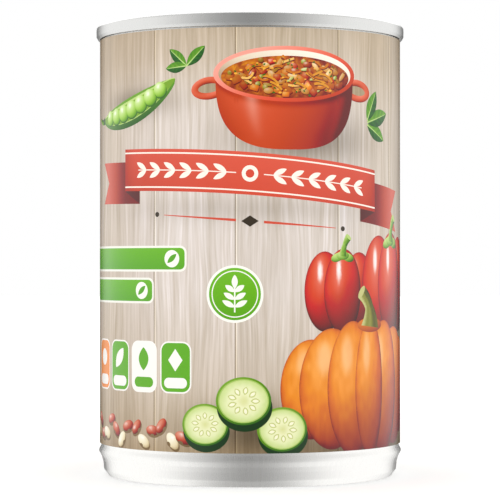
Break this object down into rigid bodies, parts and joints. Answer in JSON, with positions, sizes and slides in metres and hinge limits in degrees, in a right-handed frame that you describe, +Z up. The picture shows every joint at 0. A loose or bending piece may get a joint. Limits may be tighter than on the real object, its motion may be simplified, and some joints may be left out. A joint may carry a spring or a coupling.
{
  "type": "sealed food can",
  "caption": "Shut cylindrical steel soup can with a seamed ring-pull end, a tapered stacking base and a wrapped paper label.",
  "frame": {"origin": "centre of the base, on the surface that the can stands on", "axes": "+Z up along the can's axis; the front of the label faces -Y, its glued lap is at +Y, and the pull tab's nose points to +Y"},
  "size_m": [0.075, 0.075, 0.109],
  "materials": {
    "tinplate": "bright lacquered tinplate, satin",
    "tab_steel": "bright tab steel, satin",
    "coated_paper": "clay-coated paper, printed, semi-gloss"
  },
  "bodies": {
    "root": {"can_body": "tinplate", "top_end": "tinplate", "pull_tab": "tab_steel", "paper_label": "coated_paper"}
  },
  "joints": []
}
